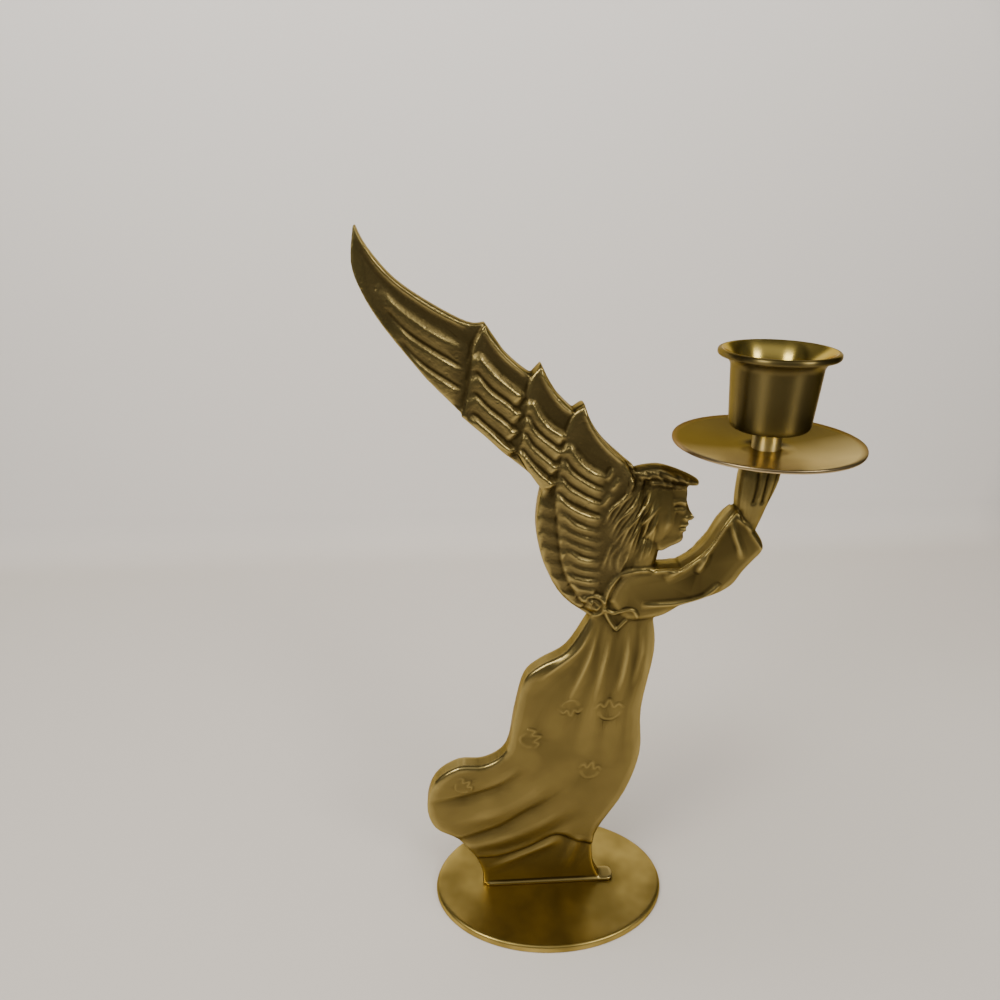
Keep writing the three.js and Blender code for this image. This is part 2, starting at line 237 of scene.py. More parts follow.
# Grounds: thickness at the edge, rise of each crowned face, and how far in from the edge it rises
GROUNDS = [
    dict(edges=PLINTH_EDGES, thickness=3.4, crown=0.3, reach=2.0),
    dict(edges=GOWN_EDGES, thickness=4.4, crown=0.8, reach=2.2),
    dict(edges=WING_EDGES, thickness=3.2, crown=0.1, reach=0.3),
    dict(edges=SHORT_FEATHERS, thickness=4.6, crown=0.6, reach=1.2),
    dict(edges=SECOND_TIER, thickness=3.8, crown=0.6, reach=1.2),
    dict(edges=THIRD_TIER, thickness=5.0, crown=0.6, reach=1.2),
    dict(edges=FOURTH_TIER, thickness=6.2, crown=0.6, reach=1.2),
    dict(edges=SLEEVE_EDGES, thickness=1.6, crown=2.8, reach=2.6),
    dict(edges=FACE_EDGES, thickness=3.6, crown=1.0, reach=1.2),
]
FOOT_SIZE = (44.8, 5.6, 1.2)
FOOT_EDGE = 0.4
FOOT_END = 2.2

# Full forms: leaves along a path, with the thickness through the whole casting. A blunt leaf
# has fuller ends.
FORMS = [
    dict(path=[(28, 150.4), (28, 139), (26.6, 127.4)],
         width=(11, 14, 12), thickness=(6, 7.4, 7), blunt=0.6),
    dict(path=[(19.8, 150), (18.6, 138), (18.4, 121)],
         width=(9, 11, 13), thickness=(6.6, 8, 8), blunt=0.5),
    dict(path=[(17.6, 148.8), (27, 149.9), (38.6, 146.4)],
         width=(4.4, 4.6, 3.2), thickness=6.2, blunt=0.6),
    dict(path=[(36.4, 137.8), (35, 140.4), (34.6, 143)], width=(1.9, 1.9), thickness=5),
    dict(path=[(32, 130.4), (33.6, 130.2), (35, 130.6)], width=(3.2, 2.6), thickness=6),
    dict(path=[(25.6, 131), (24, 125), (22, 117)], width=(8, 11), thickness=7.2, blunt=0.4),
    dict(path=[(18, 122), (20, 113), (20.4, 102)], width=(13, 15), thickness=6.6, blunt=0.5),
    dict(path=[(52, 129), (53.7, 134.6), (54.3, 141), (55.5, 148), (56.4, 156)],
         width=(7, 7.2, 9.8, 12.4, 13), thickness=(6.8, 7.6, 8.7, 9.3, 9.3), blunt=0.25),
    dict(path=[(17.4, 150.4), (19, 147.6), (16.6, 143)], width=(3, 3.6), thickness=8.6, blunt=0.7),
    dict(path=[(7.2, 111), (10.3, 109.8), (13.4, 108.6)], width=6, thickness=8.4, blunt=0.8),
]

# Folds and lines: how far the surface rises (or sinks) along each path, and the half width of the
# line, in millimetres, at the path's start and end. A lean makes the upper side the steeper one.
CLOTH_FOLDS = [
    dict(path=[(4, 20), (-8, 14), (-22.6, 6.4)], width=(1.8, 1.2), rise=(0.9, 0.5)),
    dict(path=[(10, 22), (7.4, 13.6), (4.2, 4.6)], width=(1.8, 1.4), rise=(0.75, 0.4)),
    dict(path=[(10.2, 105), (5.9, 94.1), (-3.1, 86.1), (-10, 79)], width=(1.2, 2.6), rise=(0.7, 0.3)),
    dict(path=[(11.4, 105), (9.1, 90.4), (4.9, 77.7), (-1.6, 60.7)],
         width=(1.2, 3.2), rise=(0.8, 0.25)),
    dict(path=[(14.8, 105), (13.8, 88.4), (12, 73.6), (9, 54.1)], width=(1.2, 3), rise=(0.8, 0.2)),
    dict(path=[(21.7, 105), (20.8, 86.3), (19.3, 73.3), (18.1, 49.6)],
         width=(1.2, 3.2), rise=(0.8, 0.2)),
    dict(path=[(26.6, 105), (27.2, 87.8), (25, 71.1), (25, 49.2)], width=(1.2, 2.8), rise=(0.6, 0.2)),
    dict(path=[(-8, 52), (-15.3, 44.6), (-23.5, 41), (-31.1, 39), (-42, 37.6)],
         width=(2, 1.6), rise=(-0.3, -0.75), lean=-0.4),
    dict(path=[(5, 43), (-2, 36.6), (-8.6, 32.2), (-17, 26.4), (-27.1, 22.6), (-38, 20)],
         width=(2, 1.6), rise=(-0.3, -0.8), lean=-0.4),
    dict(path=[(13, 33), (3.4, 26), (-5, 20.6), (-16, 17), (-27, 16)],
         width=(2.4, 1.6), rise=(-0.2, -0.5)),
    dict(path=[(-4, 56), (-15, 49), (-26, 45.4), (-41, 44)], width=(3, 3.6), rise=(0.3, 0.6)),
    dict(path=[(10, 54), (-3, 43), (-14, 35.6), (-26, 31.4), (-42, 28.6)],
         width=(3.4, 4.4), rise=(0.4, 0.9)),
    dict(path=[(12, 40), (1, 30.6), (-9, 24.6), (-20, 20.4), (-34, 17.6)],
         width=(2.4, 2.6), rise=(0.3, 0.7)),
]
# A fan of lines spreads evenly from its first path to its last; feathers run from tip to root
FANS = [
    dict(first=[(-48, 201), (-43, 195), (-35, 189.4), (-25.4, 183.4)],
         last=[(-38, 177.4), (-34.4, 172.8), (-30.6, 169.4), (-27, 167)],
         count=4, width=(1.7, 2.3), rise=(0.4, 1.0), lean=0.45, fade=0.28, sway=0.3, groove=0.3),
    dict(first=[(-23.4, 184), (-19.6, 178.8), (-15.1, 175.2), (-10.8, 171.4)],
         last=[(-25, 167.4), (-20.4, 163), (-16.6, 159.6), (-13.2, 156.6)],
         count=4, width=(1.9, 2.1), rise=(0.6, 1.2), lean=0.45, sway=0.3, groove=0.36),
    dict(first=[(-9.4, 172), (-7.4, 167.4), (-3.8, 163.8), (0.6, 160.8)],
         last=[(-11.9, 157.9), (-8.9, 153.6), (-5.6, 150.4), (-2, 147.4)],
         count=4, width=(1.8, 2), rise=(0.6, 1.2), lean=0.45, sway=0.3, groove=0.36),
    dict(first=[(0.6, 160), (2.8, 156), (6.4, 152.6), (12, 149)],
         last=[(-1.9, 145.5), (0.8, 142.2), (5, 139.8), (11.6, 137)],
         count=4, width=(1.8, 1.9), rise=(0.6, 1.1), lean=0.45, fade=0.22, sway=0.3, groove=0.3),
    dict(first=[(-1.5, 140.9), (1.2, 138), (5, 135.6), (11.4, 132.8)],
         last=[(1.6, 121.6), (4, 119.6), (7, 118.4), (12, 117.6)],
         count=6, width=(1.5, 1.4), rise=(0.5, 0.9), lean=0.4, fade=0.3, sway=0.4),
    dict(first=[(3, 117.8), (5.6, 116), (10.6, 115)], last=[(5.4, 113.4), (7.4, 112.2), (10, 111.6)],
         count=2, width=(1.3, 1.3), rise=(0.4, 0.6), lean=0.4),
    dict(first=[(-7, 143), (-4.6, 141.3), (-1, 140.2)], last=[(-4.2, 120.2), (-0.9, 118.7), (3, 117.4)],
         count=6, width=(1.6, 1.6), rise=(0.25, 0.35), lean=0.3),
    dict(first=[(-2, 115.4), (1.4, 114), (5.4, 112.8)], last=[(1.4, 111.4), (4.4, 110.6), (7.4, 109.6)],
         count=2, width=(1.4, 1.4), rise=(0.35, 0.4), lean=0.4),
    dict(first=[(19.2, 146.3), (16.6, 143.4), (14, 139.9), (12, 136)],
         last=[(24.3, 145.6), (21.3, 139.7), (17.7, 135), (14.6, 128.9)],
         count=6, width=(0.4, 0.45), rise=(0.5, 0.4), sway=0.45, fade=0.3),
    dict(first=[(25.2, 145.2), (22.4, 139.8), (19, 134.2), (16, 127.2)],
         last=[(27.4, 142), (24.9, 136.6), (23, 131.7), (20.8, 123.6)],
         count=6, width=(0.4, 0.45), rise=(0.6, 0.4), sway=0.4, fade=0.3),
    dict(first=[(27.3, 139.6), (25.6, 134.6), (24.2, 130), (22.6, 123.4)],
         last=[(27, 136), (26.2, 131.6), (25.6, 128.4), (25, 124.6)],
         count=3, width=(0.4, 0.45), rise=(0.45, 0.4), sway=0.3, fade=0.3),
    dict(first=[(14.4, 131), (13, 127), (12.4, 121.6)],
         last=[(19.6, 127.6), (18.4, 124.4), (17.8, 120.6)],
         count=4, width=(0.5, 0.5), rise=(0.3, 0.3), sway=0.5, fade=0.4),
    dict(first=[(18.4, 153), (20.6, 150.6), (23.4, 147)],
         last=[(34.6, 151), (36.6, 148.4), (38.2, 145)],
         count=7, width=(0.7, 0.6), rise=(0.3, 0.25), sway=0.9),
    dict(first=[(21.6, 152.6), (23.4, 150.4), (24.4, 148.4)],
         last=[(32.6, 151.2), (34.2, 149), (35, 147.2)],
         count=4, width=(0.4, 0.4), rise=(0.25, 0.2), sway=0.9),
]
LINES = [
    dict(path=[(10.6, 104), (6.6, 95.4), (-0.4, 88.8), (-6, 83.6)],
         width=(0.6, 0.8), rise=(0.35, 0.25), fade=0.4),
    dict(path=[(12, 104), (10, 93.4), (6.6, 83.4), (3.4, 75)],
         width=(0.6, 0.8), rise=(0.4, 0.25), fade=0.4),
    dict(path=[(15.6, 100), (14.6, 92), (13, 83), (11.8, 75)],
         width=(0.6, 0.8), rise=(0.35, 0.2), fade=0.4),
    dict(path=[(21.4, 102), (21, 92.4), (20, 84), (18.6, 78)],
         width=(0.6, 0.8), rise=(0.4, 0.25), fade=0.4),
    dict(path=[(25.4, 102), (25.6, 94), (24.6, 86), (23.4, 80)],
         width=(0.6, 0.8), rise=(0.35, 0.2), fade=0.4),
    dict(path=[(-51.4, 213.4), (-47.6, 206.2), (-42, 200.4), (-33.4, 194.4), (-24, 189.6)],
         width=(0.7, 0.7), rise=(0.5, 0.5)),
    dict(path=[(-20.9, 189.8), (-18.6, 186.2), (-14.9, 182), (-9.4, 177.6)],
         width=(0.7, 0.7), rise=(0.6, 0.5)),
    dict(path=[(-6.6, 179.4), (-4, 174.4), (-0.6, 169.9), (2.6, 167.8)],
         width=(0.7, 0.7), rise=(0.6, 0.5)),
    dict(path=[(5, 168.8), (7.4, 163.8), (11.2, 158.8), (17, 153.4)],
         width=(0.7, 0.7), rise=(0.6, 0.5)),
    dict(path=[(18.2, 150), (24, 152), (31, 151), (38.8, 147.2)], width=(0.6, 0.5), rise=(0.5, 0.5)),
    dict(path=[(20, 147.4), (27, 147.4), (33, 146.4), (38.4, 145.2)],
         width=(0.6, 0.5), rise=(0.3, 0.3)),
    dict(path=[(31, 141.6), (33.2, 142), (35.2, 141.4)], width=(0.8, 0.6), rise=(0.25, 0.25)),
    dict(path=[(31.4, 140.3), (33, 140.6), (34.9, 140.1)], width=(0.5, 0.5), rise=(-0.2, -0.2)),
    dict(path=[(31.6, 139.2), (33, 139.3), (34.8, 139)], width=(0.6, 0.6), rise=(0.15, 0.15)),
    dict(path=[(29.4, 139), (30.4, 135), (31.4, 131)], width=(2.4, 2.4), rise=(0.4, 0.4), fade=0.5),
    dict(path=[(27.6, 145.4), (26.8, 142), (26.2, 138), (26, 133), (26.4, 128)],
         width=(1.2, 1.2), rise=(0.2, 0.2), fade=0.4),
    dict(path=[(11.6, 148.6), (12.8, 150.6), (13.4, 153)], width=(0.8, 0.8), rise=(0.5, 0.5), fade=0.4),
    dict(path=[(12.8, 145.2), (14.4, 147.8), (15.4, 150)], width=(0.9, 0.9), rise=(0.5, 0.5), fade=0.4),
    dict(path=[(10.6, 141), (12.2, 143.4), (13.4, 145.8)], width=(0.9, 0.9), rise=(0.5, 0.5), fade=0.4),
    dict(path=[(33.8, 134.7), (35, 134.8), (36.2, 134.6)], width=(0.5, 0.5), rise=(0.2, 0.2)),
    dict(path=[(33.6, 133.9), (34.8, 133.9), (36, 133.8)], width=(0.35, 0.35), rise=(-0.25, -0.25)),
    dict(path=[(33.8, 133.1), (34.8, 133), (36, 133)], width=(0.5, 0.5), rise=(0.2, 0.2)),
    dict(path=[(34.8, 137.4), (35.4, 136.7), (36, 136.4)], width=(0.6, 0.6), rise=(0.4, 0.4)),
    dict(path=[(49, 138.4), (44.6, 132), (41, 126.4), (36.6, 122.4), (30, 118)],
         width=(0.9, 1.2), rise=(0.7, 0.7)),
    dict(path=[(47, 137), (44.6, 132), (42.4, 127), (40, 120.6)],
         width=(0.8, 1), rise=(0.8, 0.7), fade=0.3),
    dict(path=[(38.6, 126.4), (36.2, 123.8), (32, 119)], width=(1.2, 0.9), rise=(0.9, 0.5), fade=0.4),
    dict(path=[(42.4, 126), (41, 122.8), (39.6, 119.4)], width=(0.9, 0.9), rise=(0.7, 0.7), fade=0.4),
    dict(path=[(48.4, 137), (49.4, 132.4), (51.2, 128), (52.6, 123.4)],
         width=(0.8, 0.8), rise=(0.7, 0.5), fade=0.3),
    dict(path=[(49.2, 137.4), (53, 134), (56.2, 129.8), (58.8, 126)],
         width=(0.7, 0.7), rise=(0.5, 0.5)),
    dict(path=[(47, 116.4), (42.6, 112), (35, 110), (24, 109.6)], width=(0.7, 0.8), rise=(0.7, 0.6)),
    dict(path=[(13, 109.8), (14.4, 115.6), (17.6, 119.6), (23, 121), (33, 120.8)],
         width=(0.7, 0.8), rise=(0.7, 0.6)),
    dict(path=[(54, 151), (53.9, 146.1), (53.3, 140.6)], width=(0.5, 0.5), rise=(-0.5, -0.5)),
    dict(path=[(56.7, 151), (56.4, 146.5), (55.8, 140.6)], width=(0.5, 0.5), rise=(-0.5, -0.5)),
    dict(path=[(59.6, 151), (59.1, 146.4), (58.2, 140.8)], width=(0.5, 0.5), rise=(-0.5, -0.5)),
    dict(path=[(12.6, 109.2), (16.3, 107), (19.7, 108.3), (22.3, 107.7), (23.6, 104.6)],
         width=(0.45, 0.45), rise=(0.6, 0.5)),
    dict(path=[(13.6, 107.8), (15.2, 104.6), (17.6, 101)], width=(0.45, 0.45), rise=(0.5, 0.6)),
    dict(path=[(17.2, 101), (18.6, 102.8), (20.6, 105)], width=(0.45, 0.45), rise=(0.6, 0.5)),
    dict(path=[(6.6, 110.6), (8, 113.2), (11.4, 113), (13.6, 110.4), (12.6, 107.4),
               (9.4, 106.6), (6.8, 108.6)],
         width=(0.7, 0.7), rise=(0.6, 0.6)),
    dict(path=[(8.6, 110.8), (10.4, 111.6), (11.8, 110), (10.4, 108.4)],
         width=(0.6, 0.6), rise=(0.6, 0.5)),
]
# Lotus blossoms on the gown: middle, turn and size, and the petals' line round a blossom of size 1
BLOSSOMS = [
    ((16.8, 72.6), 0, 4.8),
    ((-7.6, 62.4), -75, 4.2),
    ((11.8, 49), -12, 4),
    ((4.8, 74), 180, 3.8),
    ((-29, 45), -50, 3.6),
]
PETALS = [(-1, 0), (-0.62, 0.5), (-0.3, 0.24), (0, 0.8), (0.3, 0.24), (0.62, 0.5), (1, 0)]
HEART = [(-0.7, -0.1), (-0.4, -0.6), (0.1, -0.72), (0.6, -0.4), (0.75, 0)]
PETAL_RISE = 0.17
HEART_RISE = 0.1
BLOSSOM_WIDTH = (0.45, 0.45)

# Smooth curves


def on_curve(points, share):
    place = share * (len(points) - 1)
    index = min(int(place), len(points) - 2)
    local = place - index
    start, end = Vector(points[index]), Vector(points[index + 1])
    before = Vector(points[max(index - 1, 0)])
    after = Vector(points[min(index + 2, len(points) - 1)])
    leave = start + (end - before) / 6
    arrive = end - (after - start) / 6
    first, middle, last = start.lerp(leave, local), leave.lerp(arrive, local), arrive.lerp(end, local)
    return first.lerp(middle, local).lerp(middle.lerp(last, local), local)


def heading(points, share, step=0.01):
    ahead = on_curve(points, min(share + step, 1))
    behind = on_curve(points, max(share - step, 0))
    return (ahead - behind).normalized()


def along(values, share):
    values = values if isinstance(values, (tuple, list)) else (values, values)
    place = share * (len(values) - 1)
    index = min(int(place), len(values) - 2)
    return values[index] + (values[index + 1] - values[index]) * (place - index)


def between(pair, share):
    return pair[0] + (pair[1] - pair[0]) * share


def clamp(value, low=0.0, high=1.0):
    return max(low, min(high, value))


def outline(edges, steps=4):
    points = []
    for index, edge in enumerate(edges):
        path = [edges[index - 1][-1], *edge]
        count = steps * len(edge)
        points += [on_curve(path, step / count) for step in range(count)]
    return points


# Cast forms. Each form is closed, and they are poured together into one casting.


def new_verts(made):
    return [part for part in made["geom"] if isinstance(part, bmesh.types.BMVert)]


def pour(casting, form):
    scrap = bpy.data.meshes.new("form")
    form.to_mesh(scrap)
    form.free()
    casting.from_mesh(scrap)
    bpy.data.meshes.remove(scrap)


def plate(casting, edges, thickness, crown, reach, steps=6):
    form = bmesh.new()
    front = form.faces.new([form.verts.new((x, -thickness / 2, z)) for x, z in outline(edges)])
    made = bmesh.ops.extrude_face_region(form, geom=[front])
    bmesh.ops.translate(form, verts=new_verts(made), vec=(0, thickness, 0))
    bmesh.ops.recalc_face_normals(form, faces=form.faces)
    faces = [face for face in form.faces if len(face.verts) > 4]
    rises = [crown * math.sqrt(1 - (1 - step / steps) ** 2) for step in range(steps + 1)]
    for low, high in zip(rises, rises[1:]):
        for face in faces:
            bmesh.ops.inset_region(form, faces=[face], thickness=reach / steps, depth=high - low)
    pour(casting, form)


def leaf(casting, path, width, thickness, blunt=1.0, sides=20, steps=24):
    form = bmesh.new()
    bmesh.ops.create_uvsphere(form, u_segments=sides, v_segments=steps, radius=1)
    for vert in form.verts:
        share = (1 - vert.co.z) / 2
        ring = max(math.hypot(vert.co.x, vert.co.y), 1e-6)
        swell = ring ** (blunt - 1)
        ahead = heading(path, share)
        side = Vector((-ahead.y, ahead.x))
        place = on_curve(path, share) + side * (vert.co.x * swell * along(width, share) / 2)
        vert.co = (place.x, vert.co.y * swell * along(thickness, share) / 2, place.y)
    bmesh.ops.recalc_face_normals(form, faces=form.faces)
    pour(casting, form)


def foot(casting):
    form = bmesh.new()
    bmesh.ops.create_cube(form, size=1)
    bmesh.ops.scale(form, verts=form.verts, vec=FOOT_SIZE)
    bmesh.ops.translate(form, verts=form.verts, vec=(0, 0, FOOT_SIZE[2] / 2))
    upright = [edge for edge in form.edges if abs(edge.verts[0].co.z - edge.verts[1].co.z) > FOOT_EDGE]
    bmesh.ops.bevel(form, geom=upright, offset=FOOT_END, affect="EDGES", segments=6, profile=0.5,
                    material=-1)
    level = [edge for edge in form.edges if abs(edge.verts[0].co.z - edge.verts[1].co.z) < FOOT_EDGE]
    bmesh.ops.bevel(form, geom=level, offset=FOOT_EDGE, affect="EDGES", segments=3, profile=0.5,
                    material=-1)
    pour(casting, form)


def cast_forms():
    casting = bmesh.new()
    foot(casting)
    for ground in GROUNDS:
        plate(casting, **ground)
    for form in FORMS:
        leaf(casting, **form)
    bmesh.ops.scale(casting, verts=casting.verts, vec=(CAST_SCALE, CAST_SCALE, CAST_SCALE))
    bmesh.ops.translate(casting, verts=casting.verts, vec=(0, 0, FOOT_Z))
    return casting


def spread(first, last, count, sway=0.0, groove=0.0, **line):
    def path_at(share):
        return [Vector(a).lerp(Vector(b), share) for a, b in zip(first, last)]

    for index in range(count):
        path = path_at(index / (count - 1))
        for step, point in enumerate(path):
            point.x += sway * math.sin(SWAY_TURN * index + SWAY_STEP * step)
        swell = 1 + UNEVEN * math.sin(UNEVEN_TURN * index + 1)
        yield dict(line, path=path, rise=[rise * swell for rise in line["rise"]])
    for index in range(count - 1 if groove else 0):
        path = path_at((index + GROOVE_PLACE) / (count - 1))
        yield dict(path=path, width=GROOVE_WIDTH, rise=(-groove, -groove))


def blossom(place, turn, size):
    angle = math.radians(turn)
    across = Vector((math.cos(angle), math.sin(angle))) * size
    up = Vector((-across.y, across.x))
    middle = Vector(place)
    for line, rise in ((PETALS, PETAL_RISE), (HEART, HEART_RISE)):
        path = [middle + across * x + up * z for x, z in line]
        yield dict(path=path, width=BLOSSOM_WIDTH, rise=(rise, rise))


def fine_lines():
    lines = list(LINES)
    for group in FANS:
        lines += spread(**group)
    for flower in BLOSSOMS:
        lines += blossom(*flower)
    return lines


# Finished pieces


def make_object(name, bm):
    mesh = bpy.data.meshes.new(name)
    bm.to_mesh(mesh)
    bm.free()
    piece = bpy.data.objects.new(name, mesh)
    bpy.context.scene.collection.objects.link(piece)
    return piece


def make_piece(name, bm):
    bmesh.ops.scale(bm, verts=bm.verts, vec=(MM, MM, MM))
    return make_object(name, bm)


def settle(piece):
    seen = piece.evaluated_get(bpy.context.evaluated_depsgraph_get())
    shaped = bpy.data.meshes.new_from_object(seen)
    piece.modifiers.clear()
    piece.data = shaped


def finish_piece(piece, node, body, material):
    piece.data.materials.clear()
    piece.data.materials.append(material)
    piece.data.shade_smooth()
    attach(piece, body)
    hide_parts(node)


def mark_relief(piece):
    bm = bmesh.new()
    bm.from_mesh(piece.data)
    bm.normal_update()
    places = [(vert.co.copy(), vert.normal.copy()) for vert in bm.verts]
    for _ in range(RELIEF_STEPS):
        bmesh.ops.smooth_vert(bm, verts=bm.verts, factor=0.5,
                              use_axis_x=True, use_axis_y=True, use_axis_z=True)
    # relief sets painted shade in hollows and a painted highlight on worn ridges
    relief = piece.data.attributes.new("relief", "FLOAT", "POINT")
    plumage = piece.data.attributes.new("plumage", "FLOAT", "POINT")
    for vert, (place, normal) in zip(bm.verts, places):
        rise = (place - vert.co).dot(normal) / (RELIEF_DEPTH * MM)
        x, height = place.x / MM, place.z / MM - FOOT_Z
        # The roll of hair is marked lower than its relief, so it takes painted shade
        if ROLL_START < x < ROLL_END and height > ROLL_LOW:
            rise -= ROLL_SHADE
        relief.data[vert.index].value = clamp(rise, -1.0)
        border = HAIR_FRONT if height < ROLL_LOW else FIGURE_HIGH.x
        border = min(border, SHOULDER_X + SHOULDER_SLOPE * (height - SHOULDER_Z))
        above = clamp((height - SHOULDER_Z) / SHOULDER_FADE + 1)
        plumage.data[vert.index].value = clamp((border - x) / PLUMAGE_FADE) * above
    bm.free()


def mark_cloth(piece):
    cloth = piece.vertex_groups.new(name="cloth")
    for vert in piece.data.vertices:
        height = vert.co.z / MM - FOOT_Z
        cloth.add([vert.index], clamp((CLOTH_TOP - height) / CLOTH_FADE), "REPLACE")


def carve(piece, lines):
    count = len(piece.data.vertices)
    flat = np.empty(count * 3, dtype=np.float32)
    piece.data.vertices.foreach_get("co", flat)
    places = flat.reshape(count, 3)
    front = (places[:, (0, 2)] / MM - np.array((0, FOOT_Z))) / CAST_SCALE
    height = np.zeros(count)
    shares = np.linspace(0, 1, LINE_STEPS)
    for line in lines:
        points = np.array([on_curve(line["path"], share) for share in shares])
        way = np.gradient(points, axis=0)
        pace = np.hypot(way[:, 0], way[:, 1])
        reach = LINE_REACH * max(line["width"])
        inside = (front > points.min(axis=0) - reach) & (front < points.max(axis=0) + reach)
        near = np.flatnonzero(inside.all(axis=1))
        apart = front[near, None] - points
        closest = (apart ** 2).sum(axis=2).argmin(axis=1)
        step = apart[np.arange(len(near)), closest]
        onward = way[closest] / pace[closest, None]
        beside = onward[:, 0] * step[:, 1] - onward[:, 1] * step[:, 0]
        beyond = (onward * step).sum(axis=1)
        share = np.clip(shares[closest] + beyond / pace[closest] / (LINE_STEPS - 1), 0, 1)
        past = np.maximum(np.abs(beyond) - pace[closest] / 2, 0)
        width = between(line["width"], share) * (1 - line.get("lean", 0) * np.sign(beside))
        ends = np.clip(np.minimum(share, 1 - share) / line.get("fade", LINE_FADE), 0, 1)
        ends = ends * ends * (3 - 2 * ends)
        swell = np.exp(-(beside ** 2 + past ** 2) / width ** 2)
        height[near] += between(line["rise"], share) * ends * swell
    tilt = np.empty(count * 3, dtype=np.float32)
    piece.data.vertex_normals.foreach_get("vector", tilt)
    off_edge = np.clip((np.abs(tilt[1::3]) - EDGE_FREE) / EDGE_FULL, 0, 1)
    places[:, 1] += np.sign(places[:, 1]) * height * off_edge * MM
    piece.data.vertices.foreach_set("co", flat)
    piece.data.update()


def cast_figure(material):
    piece = make_piece("cast_angel", cast_forms())
    cast = piece.modifiers.new("cast", "REMESH")
    cast.mode = "VOXEL"
    cast.voxel_size = VOXEL * MM
    settle(piece)
    carve(piece, [dict(fold, fade=FOLD_FADE) for fold in CLOTH_FOLDS])
    mark_cloth(piece)
    for name, rounds, group in (("soften", SOFTENING, ""), ("drape", CLOTH_SOFTENING, "cloth")):
        soften = piece.modifiers.new(name, "SMOOTH")
        soften.factor = 0.5
        soften.iterations = rounds
        soften.vertex_group = group
    settle(piece)
    carve(piece, fine_lines())
    triangles = sum(len(face.vertices) - 2 for face in piece.data.polygons)
    if triangles > CASTING_TRIANGLES:
        thin = piece.modifiers.new("thin", "DECIMATE")
        thin.ratio = CASTING_TRIANGLES / triangles
        settle(piece)
    mark_relief(piece)
    finish_piece(piece, "angel_figure", "stand", material)


def rounded(start, corner, end, steps=6):
    start, corner, end = Vector(start), Vector(corner), Vector(end)
    shares = [step / steps for step in range(steps + 1)]
    return [start.lerp(corner, s).lerp(corner.lerp(end, s), s) for s in shares]


def spin_profile(profile, steps=TURNED_STEPS):
    bm = bmesh.new()
    verts = [bm.verts.new((radius, 0, height)) for radius, height in profile]
    edges = [bm.edges.new(pair) for pair in zip(verts, verts[1:])]
    bmesh.ops.spin(bm, geom=[*verts, *edges], cent=(0, 0, 0), axis=(0, 0, 1), angle=math.tau,
                   steps=steps, use_merge=True)
    bmesh.ops.remove_doubles(bm, verts=bm.verts, dist=1e-4)
    bmesh.ops.recalc_face_normals(bm, faces=bm.faces)
    return bm


def on_cup_axis(bm, z):
    bmesh.ops.translate(bm, verts=bm.verts, vec=(CUP_AXIS.x, 0, z))


def add_thread(bm, radius, bottom, turns, steps=24):
    root = radius - THREAD_DEPTH
    ridge = [(root, -THREAD_FOOT), (radius, -THREAD_CREST), (radius, THREAD_CREST), (root, THREAD_FOOT)]
    verts = [bm.verts.new((r, 0, bottom + z * THREAD_PITCH)) for r, z in ridge]
    face = bm.faces.new(verts)
    bmesh.ops.spin(bm, geom=[face], cent=(0, 0, 0), axis=(0, 0, 1), angle=math.tau * turns,
                   dvec=(0, 0, THREAD_PITCH / steps), steps=int(steps * turns))


def oval_base(material):
    radius = BASE_HIGH.x
    top = BASE_HIGH.z
    ring = radius - BASE_RING
    profile = [
        (0, BASE_HOLLOW),
        (ring, BASE_HOLLOW),
        (ring + BASE_TURN, 0),
        (radius - BASE_EDGE, 0),
        *rounded((radius - BASE_TURN, 0), (radius, 0), (radius, BASE_EDGE)),
        *rounded((radius, top - BASE_RIM), (radius, top), (radius - BASE_RIM, top), 10),
        (radius - 2 * BASE_RIM, top + BASE_SKIN),
        (0, top + BASE_SKIN),
    ]
    bm = spin_profile(profile)
    bmesh.ops.scale(bm, verts=bm.verts, vec=(1, BASE_HIGH.y / radius, 1))
    piece = make_piece("oval_base", bm)
    finish_piece(piece, "base_plate", "stand", material)


def dished_pan(material):
    rim = PAN_HIGH.x - CUP_AXIS.x
    flat = PAN_FLOOR / 2
    hole = STUD_DIAMETER / 2 + HOLE_PLAY
    top = PAN_HIGH.z - PAN_LOW.z - PAN_EASE
    depth = top - PAN_THICKNESS
    inside, outside = rim - PAN_EDGE, rim + PAN_EDGE
    middle = flat + PAN_TURN
    under = rounded((flat, 0), (middle, 0), (inside, depth), 14)
    dish = rounded((inside, top), (middle, PAN_FLOOR_HEIGHT), (flat, PAN_FLOOR_HEIGHT), 14)
    turn = rounded((inside, depth), (outside, (depth + top) / 2), (inside, top), 8)
    profile = [(hole, 0), *under, *turn[1:-1], *dish, (hole, PAN_FLOOR_HEIGHT), (hole, 0)]
    bm = spin_profile(profile)
    on_cup_axis(bm, PAN_LOW.z)
    piece = make_piece("drip_dish", bm)
    finish_piece(piece, "drip_pan", "stand", material)


def threaded_neck(material):
    stud = STUD_DIAMETER / 2
    neck = STUD_HIGH.x - CUP_AXIS.x
    seat = CUP_LOW.z - NECK_HEIGHT - STUD_LOW.z
    top = CUP_LOW.z - STUD_LOW.z
    tip = STUD_HIGH.z - STUD_LOW.z
    core = stud - THREAD_DEPTH
    profile = [
        (0, 0),
        (core - STUD_TIP, 0),
        (core, STUD_TIP),
        (core, seat),
        *rounded((neck - EASE, seat), (neck, seat), (neck, seat + EASE)),
        *rounded((neck, top - EASE), (neck, top), (neck - EASE, top)),
        (core, top),
        (core, tip - STUD_TIP),
        (core - STUD_TIP, tip),
        (0, tip),
    ]
    bm = spin_profile(profile, STUD_STEPS)
    add_thread(bm, stud, STUD_LEAD, (seat - STUD_RUNOUT) / THREAD_PITCH)
    add_thread(bm, stud, top + CUP_LEAD, (tip - top - CUP_RUNOUT) / THREAD_PITCH)
    on_cup_axis(bm, STUD_LOW.z)
    piece = make_piece("neck_and_stud", bm)
    finish_piece(piece, "neck_stud", "stem", material)


